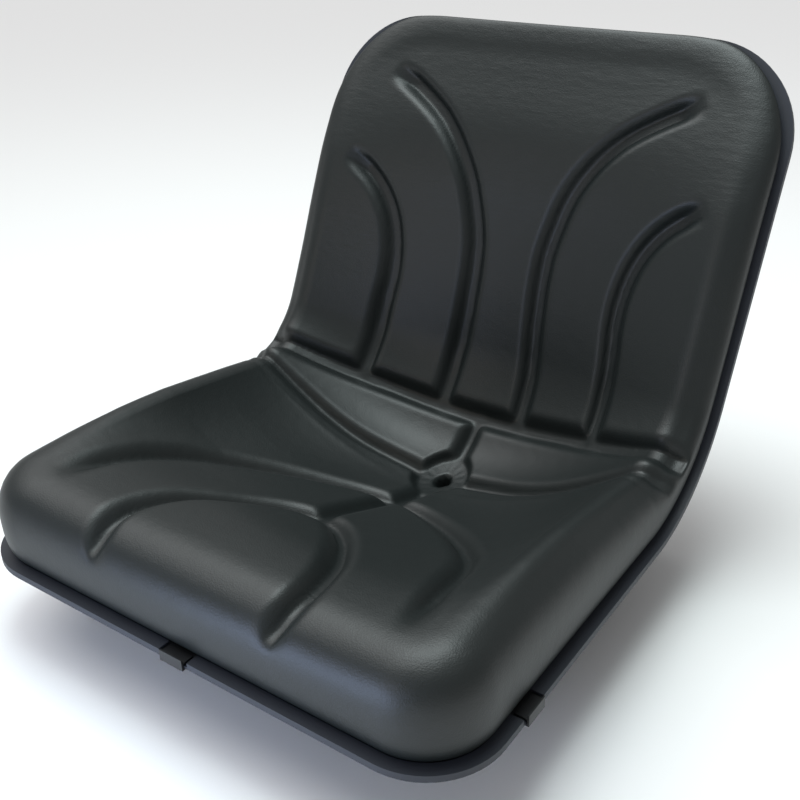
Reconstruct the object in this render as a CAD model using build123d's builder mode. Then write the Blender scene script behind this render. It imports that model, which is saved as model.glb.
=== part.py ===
from build123d import *
import math
import os

# Driving dimensions in mm.  X is across the seat, the front faces -Y, +Z is up.
# The origin is the centre of the bolt rectangle on the underside of the pan.
WIDTH = 480.0            # pan wall, left to right
SEAT_RIM = 320.0         # straight run of the rim along the seat
BEND_R = 140.0           # radius of the rim where seat turns into back
BEND = 66.0              # degrees the rim turns through
BACK_RIM = 316.0         # straight run of the rim up the back
FRONT_CORNER = 52.0      # plan radius of the two front corners
TOP_CORNER = 82.0        # radius of the two top corners

SHEET = 1.25             # pressed steel
PAN_DEPTH = 78.0         # rim to the underside of the mounting panel
WALL_H = 15.0            # height of the upright wall round the pan
LEDGE = 4.0              # flat step between the wall and the dish
BACK_DEPTH = 50.0        # rim plane of the back to the back panel
PANEL_HALF = 165.0       # half width of the flat mounting panel
BACK_RAMP = 70.0         # slope at the top of the back panel
PAN_BEND_R = 75.0        # outside radius where panel turns into back panel

BOLT_X = 285.0           # bolt rectangle, across
BOLT_Y = 205.0           # bolt rectangle, front to back
BOLT_HOLE = 9.0          # clearance for M8
BOLT_BACK = 65.0         # middle of the rectangle to the start of the rim's bend
RAMP_CLEAR = 22.5        # end of the front slope to the front bolts
NUT_AF = 13.0            # hexagon of the weld nuts
NUT_H = 6.5
NUT_BORE = 8.0           # M8 thread drawn as a plain bore
NUT_ROOM = 18.0          # square pocket in the cushion over a nut
NUT_OVER = 4.0           # room for the bolt's end over a nut

FLANGE = 12.0            # flat rim turned outwards round the pan wall
TRIM_T = 2.2             # thickness of the edge trim
TRIM_IN = 2.8            # pan wall to the inner edge of the trim
TRIM_GAP = 0.2           # play between trim and flange
LINE_GAP = 0.6           # dark line between trim and cushion

CLIP_L = 24.0            # length of a clip along the rim
CLIP_T = 1.5
CLIP_UP = 5.0            # height of its turned-up lip over the flange
CLIP_PROUD = 2.4         # how far it stands out of the trim
CLIP_IN = 5.0            # pan wall to the inner edge of a clip
CLIP_SLOT = 30.0         # length of the cut-out in the trim
SIDE_CLIP = 92.0         # front of the rim to the middle of a side clip

BULGE = 9.0              # how far the cushion swells past the wall
FOAM_GAP = 0.25          # cushion to pan
GROOVE = 12.0            # depth of the moulded grooves
SEAT_GROOVE_W = 15.0
BACK_GROOVE_W = 17.0
CREASE_W = 13.0
DRAIN_S = 356.0          # place of the drain hole along the rim
DRAIN_R = 10.0
DRAIN_DISH_R = 25.0
DRAIN_LOW = 57.0         # rim down to the foot of the drain's dish
DRAIN_DEEP = 20.0        # height of the dish
DRAIN_LIP = 4.0          # how far the dish runs out past its ring
DRAIN_SIDES = 16         # folds round the dish
BELOW = 130.0            # clear of everything below or over the rim

BOLT_MID = SEAT_RIM - BOLT_BACK
RAMP = BOLT_MID - BOLT_Y / 2 - RAMP_CLEAR
RIM_Z = PAN_DEPTH
FRONT_Y = -BOLT_MID
BEND_Y = FRONT_Y + SEAT_RIM
TURN = math.radians(BEND)
BACK_S = SEAT_RIM + BEND_R * TURN
TOP_S = BACK_S + BACK_RIM


def rim_point(s, n):
    """Y and Z of a point n above the rim line, s along it from the front."""
    if s <= SEAT_RIM:
        return (FRONT_Y + s, RIM_Z + n)
    turn = min((s - SEAT_RIM) / BEND_R, TURN)
    along = max(s - BACK_S, 0.0)
    reach = BEND_R - n
    y = BEND_Y + reach * math.sin(turn) + along * math.cos(turn)
    z = RIM_Z + BEND_R - reach * math.cos(turn) + along * math.sin(turn)
    return (y, z)


def rim_plane(s):
    """Plane across the rim at s, local x across the seat, local y off the rim."""
    turn = min(max(s - SEAT_RIM, 0.0) / BEND_R, TURN)
    y, z = rim_point(s, 0.0)
    return Plane((0, y, z), x_dir=(1, 0, 0), z_dir=(0, -math.cos(turn), -math.sin(turn)))


def face_plane(s):
    """Plane lying on the rim surface at s, local y running up the seat."""
    turn = min(max(s - SEAT_RIM, 0.0) / BEND_R, TURN)
    y, z = rim_point(s, 0.0)
    return Plane((0, y, z), x_dir=(1, 0, 0), z_dir=(0, -math.sin(turn), math.cos(turn)))


def rim_slab(inset, low, high):
    """Solid between two heights over the rim, inset from the pan wall."""
    mid = SEAT_RIM + BEND_R * TURN / 2
    with BuildPart() as slab:
        with BuildSketch(Plane.YZ):
            with BuildLine():
                Line(rim_point(inset, low), rim_point(SEAT_RIM, low))
                ThreePointArc(rim_point(SEAT_RIM, low), rim_point(mid, low), rim_point(BACK_S, low))
                Line(rim_point(BACK_S, low), rim_point(TOP_S - inset, low))
                Line(rim_point(TOP_S - inset, low), rim_point(TOP_S - inset, high))
                Line(rim_point(TOP_S - inset, high), rim_point(BACK_S, high))
                ThreePointArc(rim_point(BACK_S, high), rim_point(mid, high), rim_point(SEAT_RIM, high))
                Line(rim_point(SEAT_RIM, high), rim_point(inset, high))
                Line(rim_point(inset, high), rim_point(inset, low))
            make_face()
        extrude(amount=WIDTH / 2 - inset, both=True)
        front = slab.edges().filter_by(Axis.Z)
        fillet(front, FRONT_CORNER - inset)
        out = Axis((0, 0, 0), (0, -math.sin(TURN), math.cos(TURN)))
        fillet(slab.edges().filter_by(out), TOP_CORNER - inset)
    return slab.part


def dish_side(x, panel, back, bend_r, inset):
    """Side view of the dish at one x, with the depths of its two panels below the rim."""
    top = WALL_H - SHEET - inset
    corner_y = BEND_Y + BEND_R * math.tan(TURN / 2)
    run = (back * math.cos(TURN) - panel) / math.sin(TURN)
    foot_y = corner_y + back * math.sin(TURN) + run * math.cos(TURN)
    mid_y = foot_y - bend_r * math.tan(TURN / 2)
    mid_z = RIM_Z - panel + bend_r
    half = (mid_y + bend_r * math.sin(TURN / 2), mid_z - bend_r * math.cos(TURN / 2))
    turned = (mid_y + bend_r * math.sin(TURN), mid_z - bend_r * math.cos(TURN))
    start = rim_point(LEDGE + inset, -top)
    finish = rim_point(TOP_S - LEDGE - inset, -top)
    ramp = (FRONT_Y + RAMP, RIM_Z - panel)
    high = rim_point(TOP_S - BACK_RAMP, -back)
    with BuildSketch(Plane.YZ.offset(x)) as side:
        with BuildLine():
            Line(start, ramp)
            Line(ramp, (mid_y, RIM_Z - panel))
            ThreePointArc((mid_y, RIM_Z - panel), half, turned)
            Line(turned, high)
            Line(high, finish)
            Line(finish, rim_point(BACK_S, -top))
            Line(rim_point(BACK_S, -top), rim_point(SEAT_RIM, -top))
            Line(rim_point(SEAT_RIM, -top), start)
        make_face()
    return side.sketch


def dish(inset):
    """The pressed dish below the ledge, as a solid, inset by the sheet for its inside."""
    wide = WIDTH / 2 - LEDGE - inset
    flat = PANEL_HALF - 0.5 * inset
    shallow = WALL_H + 1.0 - inset
    deep = PAN_DEPTH - inset
    back = BACK_DEPTH - inset
    tight = PAN_BEND_R - inset
    with BuildPart() as body:
        add(dish_side(-wide, shallow, shallow, BEND_R + shallow, inset))
        add(dish_side(-flat, deep, back, tight, inset))
        loft(ruled=True)
    with BuildPart() as centre:
        add(dish_side(-flat, deep, back, tight, inset))
        add(dish_side(flat, deep, back, tight, inset))
        loft(ruled=True)
    with BuildPart() as whole:
        add(body.part)
        add(centre.part)
        add(mirror(body.part, about=Plane.YZ))
        add(rim_slab(LEDGE + inset, -BELOW, 0.0), mode=Mode.INTERSECT)
    return whole.part


def bolt_places():
    """Middles of the four bolt holes."""
    half_x = BOLT_X / 2
    half_y = BOLT_Y / 2
    return [(-half_x, -half_y), (half_x, -half_y), (-half_x, half_y), (half_x, half_y)]


drain_y = rim_point(DRAIN_S, 0.0)[0]

with BuildPart() as seat_pan:
    add(rim_slab(0.0, -WALL_H, 0.0))
    add(rim_slab(-FLANGE, -SHEET, 0.0))
    add(dish(0.0))
    add(rim_slab(SHEET, -WALL_H + SHEET, 6.0), mode=Mode.SUBTRACT)
    add(dish(SHEET), mode=Mode.SUBTRACT)
    with BuildSketch(Plane.XY.offset(-1.0)):
        with Locations(*bolt_places()):
            Circle(BOLT_HOLE / 2)
        with Locations((0, drain_y)):
            Circle(DRAIN_R + 1.0)
    extrude(amount=SHEET + 2.0, mode=Mode.SUBTRACT)
seat_pan.part.label = "seat_pan"

def clip_frames(height):
    """Planes at the three clips: local x out of the pan wall, local y along it, local z up."""
    z = RIM_Z + height
    side_y = FRONT_Y + SIDE_CLIP
    front = Plane((0, FRONT_Y, z), x_dir=(0, -1, 0), z_dir=(0, 0, 1))
    right = Plane((WIDTH / 2, side_y, z), x_dir=(1, 0, 0), z_dir=(0, 0, 1))
    left = Plane((-WIDTH / 2, side_y, z), x_dir=(-1, 0, 0), z_dir=(0, 0, 1))
    return [front, right, left]


def clip_block(near, far, length, low, high):
    """A block at each clip, from near to far out of the wall and from low to high over the flange."""
    with BuildPart() as block:
        with BuildSketch(*clip_frames(low)):
            with Locations(((near + far) / 2, 0)):
                Rectangle(far - near, length)
        extrude(amount=high - low)
    return block.part


trim_out = FLANGE + TRIM_GAP + TRIM_T
slot_low = -SHEET - TRIM_GAP
trim_low = slot_low - TRIM_T
with BuildPart() as edge_trim:
    add(rim_slab(-trim_out, trim_low, TRIM_GAP + TRIM_T))
    add(rim_slab(-FLANGE - TRIM_GAP, slot_low, TRIM_GAP), mode=Mode.SUBTRACT)
    add(rim_slab(-TRIM_IN, trim_low - 1.0, TRIM_GAP + TRIM_T + 1.0), mode=Mode.SUBTRACT)
    cut_top = TRIM_GAP + TRIM_T + 1.0
    add(clip_block(0.0, trim_out + 5.0, CLIP_SLOT, slot_low, cut_top), mode=Mode.SUBTRACT)
edge_trim.part.label = "edge_trim"

clip_out = trim_out + CLIP_PROUD
clip_low = trim_low - 0.1 - CLIP_T
with BuildPart() as retaining_clips:
    add(clip_block(CLIP_IN, clip_out, CLIP_L, 0.05, 0.05 + CLIP_T))
    add(clip_block(clip_out - CLIP_T, clip_out, CLIP_L, clip_low, CLIP_UP))
    add(clip_block(CLIP_IN, clip_out, CLIP_L, clip_low, clip_low + CLIP_T))
retaining_clips.part.label = "retaining_clips"

with BuildPart() as weld_nuts:
    with BuildSketch(Plane.XY.offset(SHEET + 0.05)):
        with Locations(*bolt_places()):
            RegularPolygon(NUT_AF / 2, 6, major_radius=False)
            Circle(NUT_BORE / 2, mode=Mode.SUBTRACT)
    extrude(amount=NUT_H)
weld_nuts.part.label = "weld_nuts"

# Pad-top height over the rim: place along the rim, middle, side, share of the groove depth.
STATIONS = [
    (-40.0, 74.0, 73.0, 0.2),
    (20.0, 77.0, 79.0, 0.5),
    (80.0, 68.0, 80.0, 1.0),
    (160.0, 35.0, 75.0, 1.0),
    (260.0, -5.0, 62.0, 1.0),
    (350.0, -36.0, 50.0, 1.0),
    (390.0, -40.0, 41.0, 1.0),
    (430.0, -27.0, 32.0, 1.0),
    (490.0, -10.0, 30.0, 1.0),
    (590.0, 5.0, 34.0, 1.0),
    (690.0, 14.0, 33.0, 0.8),
    (760.0, 15.0, 24.0, 0.4),
    (840.0, 12.0, 14.0, 0.4),
]
SIDE_X = 198.0           # where the side height is measured
CREST_X = 214.0          # where the crest starts to roll over
DISH_POWER = 1.89        # how the dished top rises from the middle to the side
DISH_STEPS = [0.0, 0.34, 0.6, 0.82, 1.0]
ROLL_STEPS = [32.0, 61.0, 90.0]
SHOULDER = 30.0          # height of the round shoulder
TUCK_H = 8.0             # height of the side's turn under
LIFT = FOAM_GAP          # underside of the cushion over the flange
SEAT_TOP = 84.0          # highest roll of the seat over the rim
FRONT_ROLL = 34.0        # radius of the front roll
TOP_ROLL = 13.0          # slope along the top of the back
TOP_THICK = 18.0         # cushion over the rim at the top
TOP_OVER = 15.0          # cushion past the wall at the top, over the trim
SPLIT_Y = FRONT_Y + 150.0


def pad_section(s, middle, side, sink):
    """Section across the cushion with round shoulders, sunk for the groove floors."""
    edge = WIDTH / 2 + BULGE - 1.0
    tuck = WIDTH / 2 + 2.0
    mid = middle - sink
    top = side - 0.4 * sink
    fall = top - min(SHOULDER, top * 0.5)
    low = min(fall * 0.5, LIFT + TUCK_H)
    right = []
    for share in DISH_STEPS:
        right.append((SIDE_X * share, mid + (top - mid) * share ** DISH_POWER))
    right.append((CREST_X, top))
    for turn in ROLL_STEPS:
        out = CREST_X + (edge - CREST_X) * math.sin(math.radians(turn))
        right.append((out, fall + (top - fall) * math.cos(math.radians(turn))))
    right += [(edge, low), (tuck, LIFT), (tuck, -BELOW)]
    left = [(-x, n) for x, n in right[:0:-1]]
    with BuildSketch(rim_plane(s)) as section:
        with BuildLine():
            Polyline(*right, *left, close=True)
        make_face()
    return section.sketch


def pad_body(sink):
    """The whole cushion top as one smooth body, pads or groove floors."""
    with BuildPart() as body:
        for s, middle, side, share in STATIONS:
            add(pad_section(s, middle, side, sink * share))
        loft(ruled=True)
    return body.part


def back_point(v, n):
    """Y and Z of a point v up the back from the end of the bend and n in front of it."""
    return rim_point(BACK_S + v, n) if v >= 0 else (
        rim_point(BACK_S, n)[0] + v * math.cos(TURN),
        rim_point(BACK_S, n)[1] + v * math.sin(TURN),
    )


# Room for the seat half with its front roll, and for the back half with its top roll.
with BuildPart() as seat_room:
    with BuildSketch(Plane.XY.offset(RIM_Z)):
        with Locations((0, (FRONT_Y - BULGE + SPLIT_Y) / 2)):
            Rectangle(WIDTH + 2 * BULGE, SPLIT_Y - FRONT_Y + BULGE)
    extrude(amount=SEAT_TOP)
    fillet(seat_room.edges().filter_by(Axis.Z).group_by(Axis.Y)[0], FRONT_CORNER + BULGE)
    fillet(seat_room.edges().group_by(Axis.Z)[-1].sort_by(Axis.Y)[:-1], FRONT_ROLL)
    chamfer(seat_room.edges().group_by(Axis.Z)[0].sort_by(Axis.Y)[:-1], 8.0, 6.0)

with BuildPart() as back_room:
    with BuildSketch(Plane.YZ):
        with BuildLine():
            Polyline(
                (SPLIT_Y, RIM_Z),
                (SPLIT_Y, RIM_Z + 2.3 * BELOW),
                back_point(130.0, 200.0),
                back_point(150.0, 52.0),
                back_point(BACK_RIM + TOP_OVER, TOP_THICK),
                back_point(BACK_RIM + TOP_OVER, -BELOW),
                back_point(-60.0, -BELOW),
                close=True,
            )
        make_face()
    extrude(amount=WIDTH / 2 + BULGE, both=True)
    out = Axis((0, 0, 0), (0, -math.sin(TURN), math.cos(TURN)))
    fillet(back_room.edges().filter_by(out), TOP_CORNER + TOP_OVER)
    crest = back_room.faces().sort_by_distance((0, *back_point(240.0, 34.0)))[0]
    chamfer(crest.edges().filter_by(Axis.X).group_by(Axis.Z)[-1], TOP_ROLL, TOP_ROLL * 0.7)

# Centre lines of the moulded grooves, right half, as across and along their plane.
SEAT_OUTER = [(172.0, 24.0), (174.0, 74.0), (150.0, 159.0), (92.0, 243.0), (44.0, 308.0), (12.0, 348.0)]
SEAT_INNER = [(86.0, 2.0), (88.0, 45.0), (72.0, 102.0), (38.0, 146.0), (0.0, 168.0)]
BACK_INNER = [(45.0, -66.0), (39.0, 78.0), (53.0, 148.0), (91.0, 209.0), (166.0, 262.0)]
BACK_OUTER = [(138.0, -60.0), (128.0, 55.0), (144.0, 106.0), (194.0, 158.0)]
CREASE_UP = [(0.0, 35.0), (110.0, 33.0), (238.0, 23.0)]
CREASE_LOW = [(8.0, -44.0), (60.0, -42.0), (130.0, -43.0), (178.0, -31.0), (240.0, -17.0)]
SEAT_STEM = [(0.0, 165.0), (0.0, 250.0), (0.0, 350.0)]
CREASE_MID = [(0.0, 36.0), (0.0, 0.0), (0.0, -40.0)]
LUMBAR_S = 385.0         # place of the plane that holds the creases
GROOVE_REACH = 60.0      # how far a groove's cut reaches under its plane


groove_floor = pad_body(GROOVE)


def groove_cut(plane, run, width, above):
    """What one groove and its mirror image take away, down to the groove floors."""
    with BuildPart() as cut:
        with BuildSketch(plane.offset(-GROOVE_REACH)):
            with BuildLine():
                Spline(*run)
            trace(line_width=width)
        extrude(amount=GROOVE_REACH + above)
        mirror(about=Plane.YZ)
        add(groove_floor, mode=Mode.SUBTRACT)
    return cut.part


seat_face = face_plane(0.0)
lumbar_face = face_plane(LUMBAR_S)
back_face = face_plane(BACK_S)
seat_runs = [SEAT_OUTER, SEAT_INNER, SEAT_STEM]
crease_runs = [CREASE_UP, CREASE_LOW, CREASE_MID]
back_runs = [BACK_INNER, BACK_OUTER]

with BuildPart() as trim_room:
    add(rim_slab(-trim_out - 5.0, -1.0, TRIM_GAP + TRIM_T + LINE_GAP))
    add(rim_slab(LINE_GAP - TRIM_IN, -2.0, 20.0), mode=Mode.SUBTRACT)

with BuildPart() as seat_cushion:
    with BuildPart(mode=Mode.PRIVATE) as room:
        add(seat_room.part)
        add(back_room.part)
        add(rim_slab(-BULGE - 3.0, LIFT, 130.0), mode=Mode.INTERSECT)
        add(trim_room.part, mode=Mode.SUBTRACT)
        add(rim_slab(SHEET + FOAM_GAP, -WALL_H + SHEET + FOAM_GAP, LIFT + 1.0))
        add(dish(SHEET + FOAM_GAP))
    add(room.part)
    add(pad_body(0.0), mode=Mode.INTERSECT)
    for run in seat_runs:
        add(groove_cut(seat_face, run, SEAT_GROOVE_W, BELOW), mode=Mode.SUBTRACT)
    for run in crease_runs:
        add(groove_cut(lumbar_face, run, CREASE_W, GROOVE_REACH), mode=Mode.SUBTRACT)
    for run in back_runs:
        add(groove_cut(back_face, run, BACK_GROOVE_W, GROOVE_REACH), mode=Mode.SUBTRACT)
    with Locations(*[(x, y, SHEET) for x, y in bolt_places()]):
        Box(NUT_ROOM, NUT_ROOM, 2 * (NUT_H + NUT_OVER), mode=Mode.SUBTRACT)
    with BuildSketch(Plane.XY.offset(RIM_Z - DRAIN_LOW)):
        with Locations((0, drain_y)):
            RegularPolygon(DRAIN_R, DRAIN_SIDES)
    with BuildSketch(Plane.XY.offset(RIM_Z - DRAIN_LOW + DRAIN_DEEP)):
        with Locations((0, drain_y)):
            RegularPolygon(DRAIN_DISH_R + DRAIN_LIP, DRAIN_SIDES)
    loft(mode=Mode.SUBTRACT)
    with BuildSketch():
        with Locations((0, drain_y)):
            RegularPolygon(DRAIN_R, DRAIN_SIDES)
    extrude(amount=RIM_Z, mode=Mode.SUBTRACT)
seat_cushion.part.label = "seat_cushion"

os.makedirs("parts", exist_ok=True)
export_step(seat_pan.part, "parts/seat_pan.step")
export_step(edge_trim.part, "parts/edge_trim.step")
export_step(retaining_clips.part, "parts/retaining_clips.step")
export_step(weld_nuts.part, "parts/weld_nuts.step")
export_step(seat_cushion.part, "parts/seat_cushion.step")
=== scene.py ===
import math

import bmesh
import bpy
import numpy as np
from mathutils import Matrix, Vector


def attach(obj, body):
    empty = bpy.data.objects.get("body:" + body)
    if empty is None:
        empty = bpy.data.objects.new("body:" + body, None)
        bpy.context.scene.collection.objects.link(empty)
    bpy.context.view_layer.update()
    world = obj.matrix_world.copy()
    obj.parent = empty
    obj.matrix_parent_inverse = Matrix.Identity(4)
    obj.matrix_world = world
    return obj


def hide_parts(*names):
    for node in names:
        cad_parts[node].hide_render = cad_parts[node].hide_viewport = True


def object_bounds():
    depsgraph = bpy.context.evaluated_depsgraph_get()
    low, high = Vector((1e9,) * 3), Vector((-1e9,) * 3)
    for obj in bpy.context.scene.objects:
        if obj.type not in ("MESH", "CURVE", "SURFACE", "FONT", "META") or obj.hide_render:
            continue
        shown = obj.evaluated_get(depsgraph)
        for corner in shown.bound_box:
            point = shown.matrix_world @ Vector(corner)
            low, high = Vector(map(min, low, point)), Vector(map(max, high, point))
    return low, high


bl_info = {
    "name": "Tractor seat",
    "version": (1, 0, 0),
    "blender": (4, 0, 0),
    "location": "View3D > Sidebar > Tractor Seat",
    "description": "Moulded vinyl tractor seat in a pressed steel pan",
    "category": "Object",
}

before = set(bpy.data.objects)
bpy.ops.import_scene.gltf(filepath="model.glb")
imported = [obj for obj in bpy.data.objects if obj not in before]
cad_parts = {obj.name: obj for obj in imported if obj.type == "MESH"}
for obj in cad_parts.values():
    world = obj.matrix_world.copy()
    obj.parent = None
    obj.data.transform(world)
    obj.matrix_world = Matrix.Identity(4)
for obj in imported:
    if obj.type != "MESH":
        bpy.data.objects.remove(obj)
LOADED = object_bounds()

# Shapes are worked out in millimetres, colours are sRGB, and Blender gets metres
MM = 0.001

# The rim of the pan, the same as in the part's source
WIDTH = 480.0
HALF = WIDTH / 2
SEAT_RIM = 320.0                # straight run along the seat
BEND_R = 140.0                  # radius where seat turns into back
BEND = math.radians(66.0)
BACK_RIM = 316.0                # straight run up the back
FRONT_CORNER = 52.0
TOP_CORNER = 82.0
RIM_Y = -255.0                  # front of the rim in the row frame
RIM_Z = 78.0                    # height of the rim in the row frame
BACK_S = SEAT_RIM + BEND_R * BEND
TOP_S = BACK_S + BACK_RIM

# The cushion's top: distance along the rim from the front, height over it in the middle and at SIDE_X
SIDE_X = 198.0
STATIONS = (
    (-40, 74, 73), (20, 77, 79), (80, 68, 80), (155, 37, 72), (235, 5, 60), (305, -23, 50),
    (350, -36, 44), (385, -41, 38), (420, -36, 31), (465, -28, 26), (530, -15, 26),
    (610, 0, 30), (655, 10, 31), (690, 15, 28), (760, 10, 17), (840, -1, 4),
)
# Distance along the rim, and the power by which the dish rises from the middle to the side
DISH_POWER = ((-40, 4.6), (200, 4.6), (260, 3.2), (330, 1.9), (840, 1.9))

# The foam's hidden underside: distance along the rim, and depth under it in the middle
UNDERSIDE = (
    (-40, 9), (4, 11), (130, 70), (320, 71), (356, 78), (390, 80),
    (431, 52), (481, 43), (727, 43), (795, 11), (840, 9),
)
UNDER_EDGE = 11.0               # depth along the edge
UNDER_IN = 3.0                  # rim line to the underside's edge
UNDER_LEDGE = 4.0               # flat step inside the rim line
UNDER_PANEL = 165.0             # half width of the flat middle

# Middle lines of the moulded grooves on the right half, as x and distance along the rim
SEAT_OUTER = (
    (180, 32), (177, 52), (175, 72), (170, 101), (162, 137), (147, 175),
    (125, 206), (97, 234), (62, 259), (30, 275), (0, 281),
)
SEAT_INNER = (
    (84, -26), (89, -12), (93, 3), (96, 22), (95, 42), (91, 62),
    (81, 89), (66, 113), (46, 139), (22, 160), (0, 168),
)
SEAT_STEM = ((0, 164), (0, 250), (0, 352))
BACK_INNER = (
    (47, 428), (46, 456), (43, 490), (41, 524), (40, 557), (42, 589),
    (49, 619), (59, 648), (76, 677), (100, 705), (138, 732), (176, 752),
)
BACK_OUTER = (
    (139, 426), (138, 465), (136, 500), (133, 534), (135, 567),
    (145, 600), (162, 625), (182, 642), (206, 655),
)
CREASE_UP = ((0, 420), (60, 420), (110, 419), (170, 415), (240, 408), (268, 405))
CREASE_LOW = (
    (0, 348), (30, 355), (64, 355), (98, 353), (130, 353),
    (174, 357), (208, 362), (240, 368), (268, 372),
)
CREASE_MID = ((0, 418), (0, 385), (0, 356))
GROOVE_STEPS = 120              # points along each groove
PAD_POWER = 2.1                 # how roundly a pad falls into a groove
CORNER_SOFT = 0.16              # how far the pads' corners are rounded where grooves meet
FAR_PLACE = 1.5                 # places further off than this many shoulders count as this far
TINY = 1e-12

# The drain: a dish that tilts with the seat, faint folds round it and a well in its middle
DRAIN_S = 356.0
DRAIN_R = 8.0
DISH_R = 24.0
DISH_EDGE = 6.0                 # width of the dish's rounded edge
DISH_LEVEL = -46.0
DISH_SLOPE = 0.12
DISH_TILT = -0.24
FOLDS = 14
FOLD_H = 0.3
FOLD_START = (DRAIN_R + 1, DRAIN_R + 5)
FOLD_END = (18, DISH_R)
WELL_DEPTH = 26.0
WELL_WALL = (DRAIN_R - 3.5, DRAIN_R + 0.5)

# The cushion's edge: distance along the rim, and how far in from the rim line the roll reaches
EDGE_ROLL = ((-20, 44), (30, 38), (330, 32), (460, 27), (700, 26), (790, 24))
SEAT_ROUND = 0.76               # power of the roll's section on the seat, 1 is a circle
BACK_ROUND = 0.88               # the same on the back
ROUND_TURN = (380, 470)         # where along the rim the one becomes the other
OVER_SHARE = 0.68               # share of the edge loops that lie on the roll
TOP_ROUND = 112.0               # the roll's own radius at the two top corners
ROUND_LEFT = 0.35               # share of that roundness left at the widest place
TOP_TURN = 0.3                  # radians round a top corner at which the swell starts to grow
SIDE_MID = 0.42                 # height of the widest place, as a share of the crest
LEAST_CREST = 8.0               # lowest crest for that share
SLOPE_RUN = 3.0                 # stretch before the crest whose slope the roll carries on
SLOPE_LIMITS = (-0.2, 0.8)
SLOPE_FADE = 0.75               # share of the roll's reach over which that slope dies out
GROOVE_OVER = (0.2, 0.9)        # part of the roll's height over which grooves run out
TUCK_OUT = 1.6                  # where the side turns in on the trim, past the rim line
TUCK_UP = 3.2                   # and over it
TUCK_POWER = 0.9
LAST_IN = 0.6                   # the last ring, which the trim hides: in from that turn
LAST_UP = 0.5                   # and over the rim

# Cells of the cushion's mesh across and along, and how many of them one cell of its underside spans
CELLS_X = 200
CELLS_S = 344
UNDER_STEP = 4
ROLL_SAMPLES = 400

# Sizes of the patterns in the finishes
WRINKLE_MM = 14.0
CREASE_MM = 5.0
CREASE_STRETCH = (0.25, 1.0, 1.0)
CREASE_FROM = (0.17, 0.24)      # heights in metres between which the creases fade in
PEEL_MM = 3.0
RUB_MM = 45.0
SAND_MM = 1.2
SCUFF_MM = 30.0
CRYSTAL_MM = 1.5

# The studio: name, kind, place in metres, size in metres or the sun's in degrees, power and colour
LAMPS = (
    ("Sky", "SUN", (-0.8, 0.1, 1.9), 55.0, 1.7, "#FFFFFF"),
    ("Key", "AREA", (-0.1, 0.2, 2.0), 1.0, 20.0, "#EEFFFF"),
    ("Fill", "AREA", (-0.5, -2.2, 0.9), 0.9, 4.0, "#FFF0DE"),
    ("Low front", "AREA", (-0.05, -0.62, 0.05), 0.4, 2.8, "#BDD2FA"),
)
LAMP_AIM = (0, 0, 0.25)
FLOOR_SIZE = 60.0
FLOOR_GAP = 0.0005
SENSOR_MM = 36.0
CAMERA_REACH = 50.0

EDGE_SEGMENTS = 2
EDGE_ANGLE = math.radians(50)   # sharper edges than this are rounded


def srgb(colour):
    """The linear RGB of an sRGB hex colour."""
    values = [int(colour[i:i + 2], 16) / 255.0 for i in (1, 3, 5)]
    return tuple(v / 12.92 if v <= 0.04045 else ((v + 0.055) / 1.055) ** 2.4 for v in values)


def rgba(colour):
    """A linear colour with full alpha, as sockets take it."""
    return (*colour, 1.0)


def smooth_table(rows, column, at):
    """A smooth curve through one column of a table of stations."""
    knots = np.array([row[0] for row in rows], float)
    values = np.array([row[column] for row in rows], float)
    slopes = np.gradient(values, knots)
    i = np.clip(np.searchsorted(knots, at) - 1, 0, len(knots) - 2)
    step = knots[i + 1] - knots[i]
    t = np.clip((at - knots[i]) / step, 0.0, 1.0)
    height = values[i] * (1 + 2 * t) * (1 - t) ** 2 + values[i + 1] * t * t * (3 - 2 * t)
    return height + step * (slopes[i] * t * (1 - t) ** 2 - slopes[i + 1] * t * t * (1 - t))


def straight_table(rows, at):
    """A broken line through a table of pairs."""
    return np.interp(at, [row[0] for row in rows], [row[1] for row in rows])


def smooth_step(value, low, high):
    """0 below low, 1 above high, and an even rise between them."""
    t = np.clip((value - low) / (high - low), 0.0, 1.0)
    return t * t * (3 - 2 * t)


def ease(a, b, share):
    """Points between two rows of points, by each one's share of the way."""
    return a + (b - a) * share[:, None]


def on_rim(x, s, n):
    """Places in the row frame of points at x, s along the rim and n over it."""
    angle = np.clip((s - SEAT_RIM) / BEND_R, 0.0, BEND)
    flat = np.minimum(s, SEAT_RIM)
    rest = np.maximum(s - BACK_S, 0.0)
    y = flat + BEND_R * np.sin(angle) + rest * math.cos(BEND) - n * np.sin(angle)
    z = BEND_R * (1 - np.cos(angle)) + rest * math.sin(BEND) + n * np.cos(angle)
    return np.stack([x + 0 * y, y + RIM_Y, z + RIM_Z], axis=-1)


def base_height(x, s):
    """The dished top without its grooves, over the rim."""
    middle = smooth_table(STATIONS, 1, s)
    side = smooth_table(STATIONS, 2, s)
    return middle + (side - middle) * np.abs(x / SIDE_X) ** straight_table(DISH_POWER, s)


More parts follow.
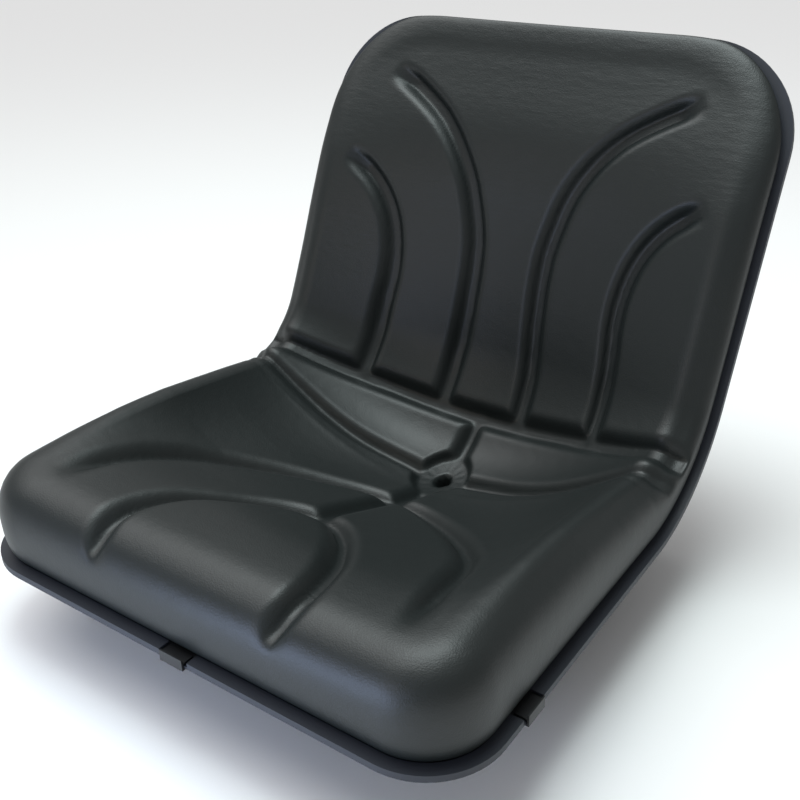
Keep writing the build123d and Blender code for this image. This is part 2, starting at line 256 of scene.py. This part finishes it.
class Groove:
    """A moulded channel: its middle line, depth, flat half width, shoulder and the fades at its ends."""

    def __init__(self, points, depths, flat, shoulder, fade_in=0, fade_out=0):
        p = np.array(points, float)
        chord = np.concatenate([[0], np.cumsum(np.linalg.norm(np.diff(p, axis=0), axis=1))])
        at = np.linspace(0, chord[-1], GROOVE_STEPS)
        rows = [(c, *q) for c, q in zip(chord, p)]
        x = smooth_table(rows, 1, at)
        s = smooth_table(rows, 2, at)
        self.places = on_rim(x, s, base_height(x, s))
        self.depth = np.interp(at / at[-1], np.linspace(0.0, 1.0, len(depths)), depths)
        if fade_in:
            self.depth = self.depth * smooth_step(at, 0.0, fade_in)
        if fade_out:
            self.depth = self.depth * smooth_step(at[-1] - at, 0.0, fade_out)
        self.flat = flat
        self.shoulder = shoulder

    def near(self, places):
        """How far each place is, 0 on the flat and 1 at the end of the shoulder, and the depth there."""
        best = np.full(len(places), np.inf)
        depth = np.zeros(len(places))
        for a, b, da, db in zip(self.places[:-1], self.places[1:], self.depth[:-1], self.depth[1:]):
            run = b - a
            t = np.clip((places - a) @ run / (run @ run), 0.0, 1.0)
            far = np.linalg.norm(places - a - t[:, None] * run, axis=1)
            nearer = far < best
            best = np.where(nearer, far, best)
            depth = np.where(nearer, da + (db - da) * t, depth)
        return np.clip((best - self.flat) / self.shoulder, 0.0, FAR_PLACE), depth


GROOVES = (
    Groove(SEAT_OUTER, (12, 11), 3.5, 15, fade_in=60),
    Groove(SEAT_INNER, (14, 13, 11), 3.5, 15, fade_in=36),
    Groove(SEAT_STEM, (10, 11), 3.5, 14),
    Groove(BACK_INNER, (11, 11, 12.5), 5.3, 11.5, fade_out=34),
    Groove(BACK_OUTER, (11, 11, 12.5), 5.3, 11.5, fade_out=30),
    Groove(CREASE_UP, (13, 13), 5, 14, fade_out=30),
    Groove(CREASE_LOW, (13, 11, 11, 10, 7, 6), 3, 12, fade_out=24),
    Groove(CREASE_MID, (12, 12), 3.5, 14),
)


def groove_sink(x, s):
    """How far the grooves together sink the surface, with the pads' corners rounded where they meet."""
    places = on_rim(np.abs(x), s, base_height(x, s))
    weight = np.zeros(len(x))
    deep = np.zeros(len(x))
    for groove in GROOVES:
        far, depth = groove.near(places)
        share = np.exp(-far / CORNER_SOFT)
        weight += share
        deep += share * depth
    weight = np.maximum(weight, TINY)
    far = np.clip(-CORNER_SOFT * np.log(weight), 0.0, 1.0)
    return deep / weight * (1 - far) ** PAD_POWER


def top_height(x, s):
    """The cushion's height over the rim inside its edge roll."""
    height = base_height(x, s) - groove_sink(x, s)
    r = np.hypot(x, s - DRAIN_S)
    turn = np.arctan2(s - DRAIN_S, x)
    folds = FOLD_H * np.cos(FOLDS * turn) * smooth_step(r, *FOLD_START) * (1 - smooth_step(r, *FOLD_END))
    dish = DISH_LEVEL + DISH_TILT * (s - DRAIN_S) + DISH_SLOPE * (r - DISH_R) + folds
    edge = smooth_step(r, DISH_R, DISH_R + DISH_EDGE)
    height = dish * (1 - edge) + height * edge
    return height - WELL_DEPTH * (1 - smooth_step(r, *WELL_WALL))


def edge_swell(normal, side, top):
    """How far the cushion swells past the rim line, most along the top, where it covers the trim."""
    turn = np.arcsin(np.clip(normal[:, 1], 0.0, 1.0))
    return side + (top - side) * smooth_step(turn, TOP_TURN, math.pi / 2)


def roll_curve(power, steps):
    """Evenly spaced points over a full round edge, from the crest to the widest place."""
    turn = np.linspace(0.0, math.pi / 2, ROLL_SAMPLES)
    across = np.sin(turn) ** power
    up = np.cos(turn) ** power
    run = np.concatenate([[0], np.cumsum(np.hypot(np.diff(across), np.diff(up)))])
    at = np.linspace(0, run[-1], steps + 1)[1:]
    return np.interp(at, run, across), np.interp(at, run, up)


def rim_loop(nx, ns, top_corner):
    """Points and outward directions round the developed rim, from the middle of the front left corner."""
    half_turn = math.radians(45)
    corners = (
        (-HALF + FRONT_CORNER, FRONT_CORNER, FRONT_CORNER, 225),
        (HALF - FRONT_CORNER, FRONT_CORNER, FRONT_CORNER, 315),
        (HALF - top_corner, TOP_S - top_corner, top_corner, 45),
        (-HALF + top_corner, TOP_S - top_corner, top_corner, 135),
    )
    points = []
    normals = []
    for k, count in enumerate((nx, ns, nx, ns)):
        ax, ay, ar, middle = corners[k]
        bx, by, br, _ = corners[(k + 1) % 4]
        start = math.radians(middle)
        turn = start + half_turn
        leave = np.array((ax + ar * math.cos(turn), ay + ar * math.sin(turn)))
        reach = np.array((bx + br * math.cos(turn), by + br * math.sin(turn)))
        straight = math.dist(leave, reach)
        first = half_turn * ar
        whole = first + straight + half_turn * br
        for i in range(count):
            gone = whole * i / count
            if gone < first:
                angle = start + gone / ar
                points.append((ax + ar * math.cos(angle), ay + ar * math.sin(angle)))
            elif gone < first + straight:
                angle = turn
                points.append(tuple(leave + (reach - leave) * (gone - first) / straight))
            else:
                angle = turn + (gone - first - straight) / br
                points.append((bx + br * math.cos(angle), by + br * math.sin(angle)))
            normals.append((math.cos(angle), math.sin(angle)))
    return np.array(points), np.array(normals)


def fill_grid(loop, nx, ns):
    """A grid of nx by ns cells whose edge is the loop, by transfinite interpolation."""
    south = loop[0:nx + 1]
    east = loop[nx:nx + ns + 1]
    north = loop[nx + ns:2 * nx + ns + 1][::-1]
    west = np.concatenate([loop[2 * nx + ns:], loop[:1]])[::-1]
    u = np.linspace(0, 1, nx + 1)[:, None, None]
    v = np.linspace(0, 1, ns + 1)[None, :, None]
    ruled = (1 - v) * south[:, None] + v * north[:, None] + (1 - u) * west[None] + u * east[None]
    low = (1 - u) * south[0] + u * south[-1]
    high = (1 - u) * north[0] + u * north[-1]
    return (ruled - (1 - v) * low - v * high).reshape(-1, 2)


def grid_index(nx, ns, first):
    return np.arange((nx + 1) * (ns + 1)).reshape(nx + 1, ns + 1) + first


def grid_edge(nx, ns, first):
    """Vertices round the edge of a grid, in the loop's order."""
    index = grid_index(nx, ns, first)
    return np.concatenate([index[:-1, 0], index[-1, :-1], index[:0:-1, -1], index[0, :0:-1]])


def grid_faces(nx, ns, first):
    index = grid_index(nx, ns, first)
    return np.stack([index[:-1, :-1], index[1:, :-1], index[1:, 1:], index[:-1, 1:]], axis=-1).reshape(-1, 4)


def side_rings(rim, soft, reach, rolls, swell):
    """The cushion's side: rings over the roll, out to the swell, and in under it to the line on the trim."""

    def place(share, out):
        return ease(rim[0], soft[0], share) + ease(rim[1], soft[1], share) * out[:, None]

    s = rim[0][:, 1]
    start = soft[0] - soft[1] * reach[:, None]
    before = start - soft[1] * SLOPE_RUN
    crest = base_height(*start.T)
    slope = np.clip((crest - base_height(*before.T)) / SLOPE_RUN, *SLOPE_LIMITS)
    middle = SIDE_MID * np.maximum(crest, LEAST_CREST)
    back = smooth_step(s, *ROUND_TURN)
    over = int(rolls * OVER_SHARE)
    seat_across, seat_up = roll_curve(SEAT_ROUND, over)
    back_across, back_up = roll_curve(BACK_ROUND, over)
    rings = []
    for k in range(over):
        across = seat_across[k] + (back_across[k] - seat_across[k]) * back
        share = seat_up[k] + (back_up[k] - seat_up[k]) * back
        gone = (reach + swell) * across
        lift = slope * gone * np.clip(1 - gone / (SLOPE_FADE * reach), 0.0, 1.0)
        points = place(ROUND_LEFT + (1 - ROUND_LEFT) * share, gone - reach)
        up = middle + (crest + lift - middle) * share
        up = up - groove_sink(*points.T) * smooth_step(share, *GROOVE_OVER)
        rings.append(on_rim(*points.T, up))
    for turn in np.linspace(0.0, math.pi / 2, rolls - over)[1:]:
        out = TUCK_OUT + (swell - TUCK_OUT) * math.cos(turn)
        up = middle + (TUCK_UP - middle) * math.sin(turn) ** TUCK_POWER
        points = place(np.full(len(s), ROUND_LEFT * math.cos(turn)), out)
        rings.append(on_rim(*points.T, up))
    points = rim[0] + rim[1] * (TUCK_OUT - LAST_IN)
    rings.append(on_rim(*points.T, np.full(len(s), LAST_UP)))
    return rings


def underside(rim, nx, ns):
    """The foam's hidden underside, in coarser cells, inside the pan."""
    edge = (rim[0] - rim[1] * UNDER_IN)[::UNDER_STEP]
    x, s = fill_grid(edge, nx // UNDER_STEP, ns // UNDER_STEP).T
    half = HALF - UNDER_LEDGE
    across = np.clip((half - np.abs(x)) / (half - UNDER_PANEL), 0.0, 1.0)
    deeper = np.maximum(straight_table(UNDERSIDE, s) - UNDER_EDGE, 0.0)
    return on_rim(x, s, -UNDER_EDGE - deeper * across)


def join_rings(fine, coarse):
    """Triangles between a ring and one with a vertex for every UNDER_STEP of its own."""
    faces = []
    for i, a in enumerate(coarse):
        b = coarse[(i + 1) % len(coarse)]
        for k in range(UNDER_STEP):
            p = fine[i * UNDER_STEP + k]
            q = fine[(i * UNDER_STEP + k + 1) % len(fine)]
            faces.append((p, a if k < UNDER_STEP / 2 else b, q))
            if k == UNDER_STEP // 2 - 1:
                faces.append((q, a, b))
    return np.array(faces)


def cushion_mesh(settings):
    """Vertices and faces of the whole cushion."""
    nx = UNDER_STEP * round(CELLS_X * settings.fineness / UNDER_STEP)
    ns = UNDER_STEP * round(CELLS_S * settings.fineness / UNDER_STEP)
    rim = rim_loop(nx, ns, TOP_CORNER)
    soft = rim_loop(nx, ns, TOP_ROUND)
    reach = straight_table(EDGE_ROLL, rim[0][:, 1])
    x, s = fill_grid(soft[0] - soft[1] * reach[:, None], nx, ns).T
    verts = [on_rim(x, s, top_height(x, s))]
    faces = [grid_faces(nx, ns, 0)]
    ring = grid_edge(nx, ns, 0)
    count = len(x)
    swell = edge_swell(rim[1], settings.side_swell / MM, settings.top_swell / MM)
    for points in side_rings(rim, soft, reach, settings.rolls, swell):
        verts.append(points)
        lower = np.arange(len(points)) + count
        faces.append(np.stack([lower, np.roll(lower, -1), np.roll(ring, -1), ring], axis=-1))
        ring = lower
        count += len(points)
    verts.append(underside(rim, nx, ns))
    cells = (nx // UNDER_STEP, ns // UNDER_STEP, count)
    faces.append(grid_faces(*cells)[:, ::-1])
    faces.append(join_rings(ring, grid_edge(*cells)))
    return np.concatenate(verts), [face for block in faces for face in block.tolist()]


def set_inputs(tree, node, inputs):
    """Links an input that is given as a socket, and sets any other."""
    for name, value in inputs.items():
        if isinstance(value, bpy.types.NodeSocket):
            tree.links.new(value, node.inputs[name])
        else:
            node.inputs[name].default_value = value


def add_node(tree, kind, inputs, **settings):
    """Adds a node with its settings and links."""
    node = tree.nodes.new(kind)
    for name, value in settings.items():
        setattr(node, name, value)
    set_inputs(tree, node, inputs)
    return node


def per_mm(size):
    """The scale of a pattern whose features are this many millimetres apart."""
    return 1.0 / (size * MM)


def new_material(name):
    """A material with its node tree, its shader and the piece's Object coordinates."""
    material = bpy.data.materials.new(name)
    material.use_nodes = True
    tree = material.node_tree
    place = add_node(tree, "ShaderNodeTexCoord", {}).outputs["Object"]
    return material, tree, tree.nodes["Principled BSDF"], place


def vinyl(settings):
    """Embossed PVC skin, formed over foam."""
    # The pebble grain breaks up the gloss, and broad soft wrinkles make it wander
    material, tree, shader, place = new_material("Grained black vinyl")
    wander = add_node(tree, "ShaderNodeTexNoise", {"Vector": place, "Scale": per_mm(WRINKLE_MM)})
    broad = add_node(tree, "ShaderNodeBump", {
        "Height": wander.outputs["Fac"], "Strength": 0.25, "Distance": 0.0012,
    })
    # Fine creases run across the back, where the skin is stretched least
    drawn = add_node(tree, "ShaderNodeMapping", {"Vector": place, "Scale": CREASE_STRETCH})
    crease = add_node(tree, "ShaderNodeTexNoise", {
        "Vector": drawn.outputs["Vector"], "Scale": per_mm(CREASE_MM), "Detail": 3.0,
    })
    split = add_node(tree, "ShaderNodeSeparateXYZ", {"Vector": place})
    high = add_node(tree, "ShaderNodeMapRange", {
        "Value": split.outputs["Z"], "From Min": CREASE_FROM[0], "From Max": CREASE_FROM[1],
    })
    back_only = add_node(tree, "ShaderNodeMath", {
        0: crease.outputs["Fac"], 1: high.outputs["Result"],
    }, operation="MULTIPLY")
    across = add_node(tree, "ShaderNodeBump", {
        "Height": back_only.outputs["Value"], "Strength": 0.3, "Distance": 0.0008,
        "Normal": broad.outputs["Normal"],
    })
    grain = add_node(tree, "ShaderNodeTexVoronoi", {"Vector": place, "Scale": 1.0 / settings.grain})
    fine = add_node(tree, "ShaderNodeBump", {
        "Height": grain.outputs["Distance"], "Strength": 0.35, "Distance": 0.00025,
        "Normal": across.outputs["Normal"],
    })
    set_inputs(tree, shader, {
        "Base Color": rgba(settings.vinyl_colour), "Roughness": settings.vinyl_roughness,
        "Normal": fine.outputs["Normal"],
    })
    return material


def enamel(name, colour):
    """Stoved enamel paint on pressed steel."""
    # A slight orange peel wrinkles the reflections, and handling leaves it shinier in places
    material, tree, shader, place = new_material(name)
    peel = add_node(tree, "ShaderNodeTexNoise", {"Vector": place, "Scale": per_mm(PEEL_MM)})
    bump = add_node(tree, "ShaderNodeBump", {
        "Height": peel.outputs["Fac"], "Strength": 0.2, "Distance": 0.0002,
    })
    rubbed = add_node(tree, "ShaderNodeTexNoise", {
        "Vector": place, "Scale": per_mm(RUB_MM), "Detail": 3.0,
    })
    gloss = add_node(tree, "ShaderNodeMapRange", {
        "Value": rubbed.outputs["Fac"], "From Min": 0.3, "From Max": 0.7, "To Min": 0.36, "To Max": 0.48,
    })
    set_inputs(tree, shader, {
        "Base Color": rgba(colour), "Roughness": gloss.outputs["Result"], "Normal": bump.outputs["Normal"],
    })
    return material


def trim_pvc(settings):
    """Soft PVC, extruded, with a dull skin."""
    # A fine sand in the skin dulls the gloss, and it is scuffed a little paler in patches
    material, tree, shader, place = new_material("Matte dark PVC")
    sand = add_node(tree, "ShaderNodeTexNoise", {"Vector": place, "Scale": per_mm(SAND_MM)})
    bump = add_node(tree, "ShaderNodeBump", {
        "Height": sand.outputs["Fac"], "Strength": 0.25, "Distance": 0.0002,
    })
    scuff = add_node(tree, "ShaderNodeTexNoise", {
        "Vector": place, "Scale": per_mm(SCUFF_MM), "Detail": 4.0,
    })
    tone = add_node(tree, "ShaderNodeValToRGB", {"Fac": scuff.outputs["Fac"]})
    tone.color_ramp.elements[0].color = rgba(settings.trim_colour)
    tone.color_ramp.elements[1].color = rgba(settings.trim_scuff)
    set_inputs(tree, shader, {
        "Base Color": tone.outputs["Color"], "Roughness": settings.trim_roughness,
        "Normal": bump.outputs["Normal"],
    })
    return material


def zinc(settings):
    """Zinc plating on steel nuts."""
    # The plating's crystals each catch the light a little differently
    material, tree, shader, place = new_material("Zinc plated steel")
    crystal = add_node(tree, "ShaderNodeTexVoronoi", {"Vector": place, "Scale": per_mm(CRYSTAL_MM)})
    glint = add_node(tree, "ShaderNodeMapRange", {
        "Value": crystal.outputs["Distance"], "To Min": 0.3, "To Max": 0.46,
    })
    set_inputs(tree, shader, {
        "Base Color": rgba(settings.nut_colour), "Metallic": 1.0, "Roughness": glint.outputs["Result"],
    })
    return material


def paper(settings):
    """Matt background paper, whose grain doesn't show at this distance."""
    material, tree, shader, _ = new_material("Pale paper")
    set_inputs(tree, shader, {"Base Color": rgba(settings.floor_colour), "Roughness": 0.9})
    return material


def dress(node, material, edge):
    """Gives a CAD node its finish and small rounded edges."""
    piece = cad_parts[node]
    piece.data.materials.clear()
    piece.data.materials.append(material)
    bevel = piece.modifiers.new("Edges", "BEVEL")
    bevel.width = edge
    bevel.segments = EDGE_SEGMENTS
    bevel.limit_method = "ANGLE"
    bevel.angle_limit = EDGE_ANGLE


def add_floor(settings):
    """A wide sheet of paper just under the seat."""
    bpy.ops.mesh.primitive_plane_add(size=FLOOR_SIZE, location=(0, 0, LOADED[0][2] - FLOOR_GAP))
    floor = bpy.context.object
    floor.name = "floor"
    floor.data.materials.append(paper(settings))


def add_lamps(scene, settings):
    """Even white surroundings and four soft lamps."""
    world = scene.world or bpy.data.worlds.new("Studio")
    scene.world = world
    world.use_nodes = True
    tree = world.node_tree
    set_inputs(tree, tree.nodes["Background"], {
        "Color": rgba(settings.room_colour), "Strength": settings.room_light,
    })
    for name, kind, place, size, power, colour in LAMPS:
        data = bpy.data.lights.new(name, kind)
        data.energy = power
        data.color = srgb(colour)
        if kind == "SUN":
            data.angle = math.radians(size)
        else:
            data.size = size
        lamp = bpy.data.objects.new(name, data)
        lamp.location = place
        aim = Vector(LAMP_AIM) - Vector(place)
        lamp.rotation_euler = aim.to_track_quat("-Z", "Y").to_euler()
        lamp.visible_camera = False
        scene.collection.objects.link(lamp)


def add_camera(scene, settings):
    """The camera at the photograph's viewing angle."""
    a = settings.azimuth
    e = settings.elevation
    r = settings.roll
    back = Vector((math.sin(a) * math.cos(e), -math.cos(a) * math.cos(e), math.sin(e)))
    level = Vector((math.cos(a), math.sin(a), 0.0))
    lift = back.cross(level)
    right = level * math.cos(r) + lift * math.sin(r)
    up = lift * math.cos(r) - level * math.sin(r)
    data = bpy.data.cameras.new("Camera")
    data.sensor_width = SENSOR_MM
    data.lens = settings.lens
    data.clip_end = CAMERA_REACH
    camera = bpy.data.objects.new("Camera", data)
    turned = Matrix((right, up, back)).transposed().to_4x4()
    camera.matrix_world = Matrix.Translation(Vector(settings.place)) @ turned
    scene.collection.objects.link(camera)
    scene.camera = camera


class SeatSettings(bpy.types.PropertyGroup):
    """Sizes and colours of the seat"""
    fineness: bpy.props.FloatProperty(
        name="Mesh fineness", description="Share of the full count of cells in the cushion's mesh",
        default=1.0, min=0.3, max=1.0, subtype="FACTOR",
    )
    rolls: bpy.props.IntProperty(
        name="Edge loops", description="Rings of faces round the cushion's side",
        default=20, min=8, max=30,
    )
    side_swell: bpy.props.FloatProperty(
        name="Side swell", description="How far the cushion swells past the pan's wall at the sides",
        default=8.5 * MM, min=4.0 * MM, max=12.0 * MM, precision=4, unit="LENGTH",
    )
    top_swell: bpy.props.FloatProperty(
        name="Top swell", description="How far the cushion swells past the pan's wall along the top",
        default=15.0 * MM, min=4.0 * MM, max=18.0 * MM, precision=4, unit="LENGTH",
    )
    vinyl_colour: bpy.props.FloatVectorProperty(
        name="Vinyl", description="Colour of the cushion's vinyl skin",
        default=srgb("#141A1A"), min=0.0, max=1.0, subtype="COLOR",
    )
    vinyl_roughness: bpy.props.FloatProperty(
        name="Vinyl roughness", description="How dull the vinyl skin is",
        default=0.46, min=0.0, max=1.0, subtype="FACTOR",
    )
    grain: bpy.props.FloatProperty(
        name="Vinyl grain", description="Distance between the pebbles of the vinyl's grain",
        default=1.3 * MM, min=0.3 * MM, max=4.0 * MM, precision=4, unit="LENGTH",
    )
    pan_colour: bpy.props.FloatVectorProperty(
        name="Pan paint", description="Colour of the enamel on the pan",
        default=srgb("#151618"), min=0.0, max=1.0, subtype="COLOR",
    )
    pan_edge: bpy.props.FloatProperty(
        name="Pan edges", description="Rounding of the pan's edges",
        default=0.3 * MM, min=0.1 * MM, max=0.6 * MM, precision=4, unit="LENGTH",
    )
    nut_colour: bpy.props.FloatVectorProperty(
        name="Nut plating", description="Colour of the zinc on the weld nuts",
        default=srgb("#9A9C9B"), min=0.0, max=1.0, subtype="COLOR",
    )
    nut_edge: bpy.props.FloatProperty(
        name="Nut edges", description="Rounding of the weld nuts' edges",
        default=0.3 * MM, min=0.1 * MM, max=1.0 * MM, precision=4, unit="LENGTH",
    )
    trim_colour: bpy.props.FloatVectorProperty(
        name="Trim", description="Colour of the trim's PVC",
        default=srgb("#242831"), min=0.0, max=1.0, subtype="COLOR",
    )
    trim_scuff: bpy.props.FloatVectorProperty(
        name="Scuffed trim", description="Colour of the trim's PVC where it is scuffed",
        default=srgb("#2B2F38"), min=0.0, max=1.0, subtype="COLOR",
    )
    trim_roughness: bpy.props.FloatProperty(
        name="Trim roughness", description="How dull the trim is",
        default=0.55, min=0.0, max=1.0, subtype="FACTOR",
    )
    trim_edge: bpy.props.FloatProperty(
        name="Trim edges", description="Rounding of the trim's edges",
        default=2.0 * MM, min=0.2 * MM, max=2.2 * MM, precision=4, unit="LENGTH",
    )
    clip_colour: bpy.props.FloatVectorProperty(
        name="Clip paint", description="Colour of the paint on the clips",
        default=srgb("#121316"), min=0.0, max=1.0, subtype="COLOR",
    )
    clip_edge: bpy.props.FloatProperty(
        name="Clip edges", description="Rounding of the clips' edges",
        default=0.4 * MM, min=0.1 * MM, max=0.7 * MM, precision=4, unit="LENGTH",
    )


class StageSettings(bpy.types.PropertyGroup):
    """Floor, surroundings and camera"""
    floor_colour: bpy.props.FloatVectorProperty(
        name="Floor", description="Colour of the paper under the seat",
        default=srgb("#F4F4F4"), min=0.0, max=1.0, subtype="COLOR",
    )
    room_colour: bpy.props.FloatVectorProperty(
        name="Room", description="Colour of the light from all round",
        default=srgb("#FFFFFF"), min=0.0, max=1.0, subtype="COLOR",
    )
    room_light: bpy.props.FloatProperty(
        name="Room light", description="Strength of the light from all round",
        default=0.34, min=0.0, max=1.0,
    )
    azimuth: bpy.props.FloatProperty(
        name="Azimuth", description="How far the camera stands round to the right of the front",
        default=math.radians(35.193), subtype="ANGLE",
    )
    elevation: bpy.props.FloatProperty(
        name="Elevation", description="How steeply the camera looks down",
        default=math.radians(27.812), subtype="ANGLE",
    )
    roll: bpy.props.FloatProperty(
        name="Roll", description="How far the camera is turned about its own axis",
        default=math.radians(-0.906), subtype="ANGLE",
    )
    lens: bpy.props.FloatProperty(
        name="Lens", description="Focal length of the camera in millimetres",
        default=46.666, min=10.0, max=300.0, unit="CAMERA",
    )
    place: bpy.props.FloatVectorProperty(
        name="Place", description="Where the camera stands",
        default=(0.49634, -0.66619, 0.62034), subtype="TRANSLATION", unit="LENGTH",
    )


class SEAT_OT_cushion(bpy.types.Operator):
    """Builds the moulded cushion with its grooves, edge roll and drain"""
    bl_idname = "tractor_seat.cushion"
    bl_label = "Cushion"

    def execute(self, context):
        settings = context.scene.tractor_seat
        verts, faces = cushion_mesh(settings)
        mesh = bpy.data.meshes.new("moulded_cushion")
        mesh.from_pydata((verts * MM).tolist(), [], faces)
        mesh.update()
        shell = bmesh.new()
        shell.from_mesh(mesh)
        bmesh.ops.recalc_face_normals(shell, faces=shell.faces)
        shell.to_mesh(mesh)
        shell.free()
        mesh.polygons.foreach_set("use_smooth", [True] * len(mesh.polygons))
        mesh.materials.append(vinyl(settings))
        piece = bpy.data.objects.new("moulded_cushion", mesh)
        context.scene.collection.objects.link(piece)
        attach(piece, "root")
        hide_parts("seat_cushion")
        return {"FINISHED"}


class SEAT_OT_pan(bpy.types.Operator):
    """Paints the pressed pan"""
    bl_idname = "tractor_seat.pan"
    bl_label = "Pan"

    def execute(self, context):
        settings = context.scene.tractor_seat
        dress("seat_pan", enamel("Black enamel paint", settings.pan_colour), settings.pan_edge)
        return {"FINISHED"}


class SEAT_OT_nuts(bpy.types.Operator):
    """Plates the weld nuts under the cushion"""
    bl_idname = "tractor_seat.nuts"
    bl_label = "Weld nuts"

    def execute(self, context):
        settings = context.scene.tractor_seat
        dress("weld_nuts", zinc(settings), settings.nut_edge)
        return {"FINISHED"}


class SEAT_OT_trim(bpy.types.Operator):
    """Finishes the edge trim on the pan's flange"""
    bl_idname = "tractor_seat.trim"
    bl_label = "Edge trim"

    def execute(self, context):
        settings = context.scene.tractor_seat
        dress("edge_trim", trim_pvc(settings), settings.trim_edge)
        return {"FINISHED"}


class SEAT_OT_clips(bpy.types.Operator):
    """Paints the clips in the trim's cut-outs"""
    bl_idname = "tractor_seat.clips"
    bl_label = "Clips"

    def execute(self, context):
        settings = context.scene.tractor_seat
        dress("retaining_clips", enamel("Black painted steel", settings.clip_colour), settings.clip_edge)
        return {"FINISHED"}


class SEAT_OT_stage(bpy.types.Operator):
    """Sets the floor, the soft lights and the camera"""
    bl_idname = "tractor_seat.stage"
    bl_label = "Stage"

    def execute(self, context):
        scene = context.scene
        settings = scene.tractor_seat_stage
        add_floor(settings)
        add_lamps(scene, settings)
        add_camera(scene, settings)
        scene.view_settings.view_transform = "Standard"
        return {"FINISHED"}


class SEAT_PT_panel(bpy.types.Panel):
    """Settings and steps of the tractor seat"""
    bl_idname = "SEAT_PT_panel"
    bl_label = "Tractor Seat"
    bl_space_type = "VIEW_3D"
    bl_region_type = "UI"
    bl_category = "Tractor Seat"

    def draw(self, context):
        scene = context.scene
        for group, settings in (
            (SeatSettings, scene.tractor_seat),
            (StageSettings, scene.tractor_seat_stage),
        ):
            for name in group.__annotations__:
                self.layout.prop(settings, name)
        for step in STEPS:
            self.layout.operator(step.bl_idname)


STEPS = (SEAT_OT_cushion, SEAT_OT_pan, SEAT_OT_nuts, SEAT_OT_trim, SEAT_OT_clips, SEAT_OT_stage)
CLASSES = (SeatSettings, StageSettings, *STEPS, SEAT_PT_panel)


def register():
    for cls in CLASSES:
        bpy.utils.register_class(cls)
    bpy.types.Scene.tractor_seat = bpy.props.PointerProperty(type=SeatSettings)
    bpy.types.Scene.tractor_seat_stage = bpy.props.PointerProperty(type=StageSettings)


def unregister():
    del bpy.types.Scene.tractor_seat_stage
    del bpy.types.Scene.tractor_seat
    for cls in reversed(CLASSES):
        bpy.utils.unregister_class(cls)


def main():
    register()
    bpy.ops.tractor_seat.cushion()
    bpy.ops.tractor_seat.pan()
    bpy.ops.tractor_seat.nuts()
    bpy.ops.tractor_seat.trim()
    bpy.ops.tractor_seat.clips()
    bpy.ops.tractor_seat.stage()


if __name__ == "__main__":
    main()
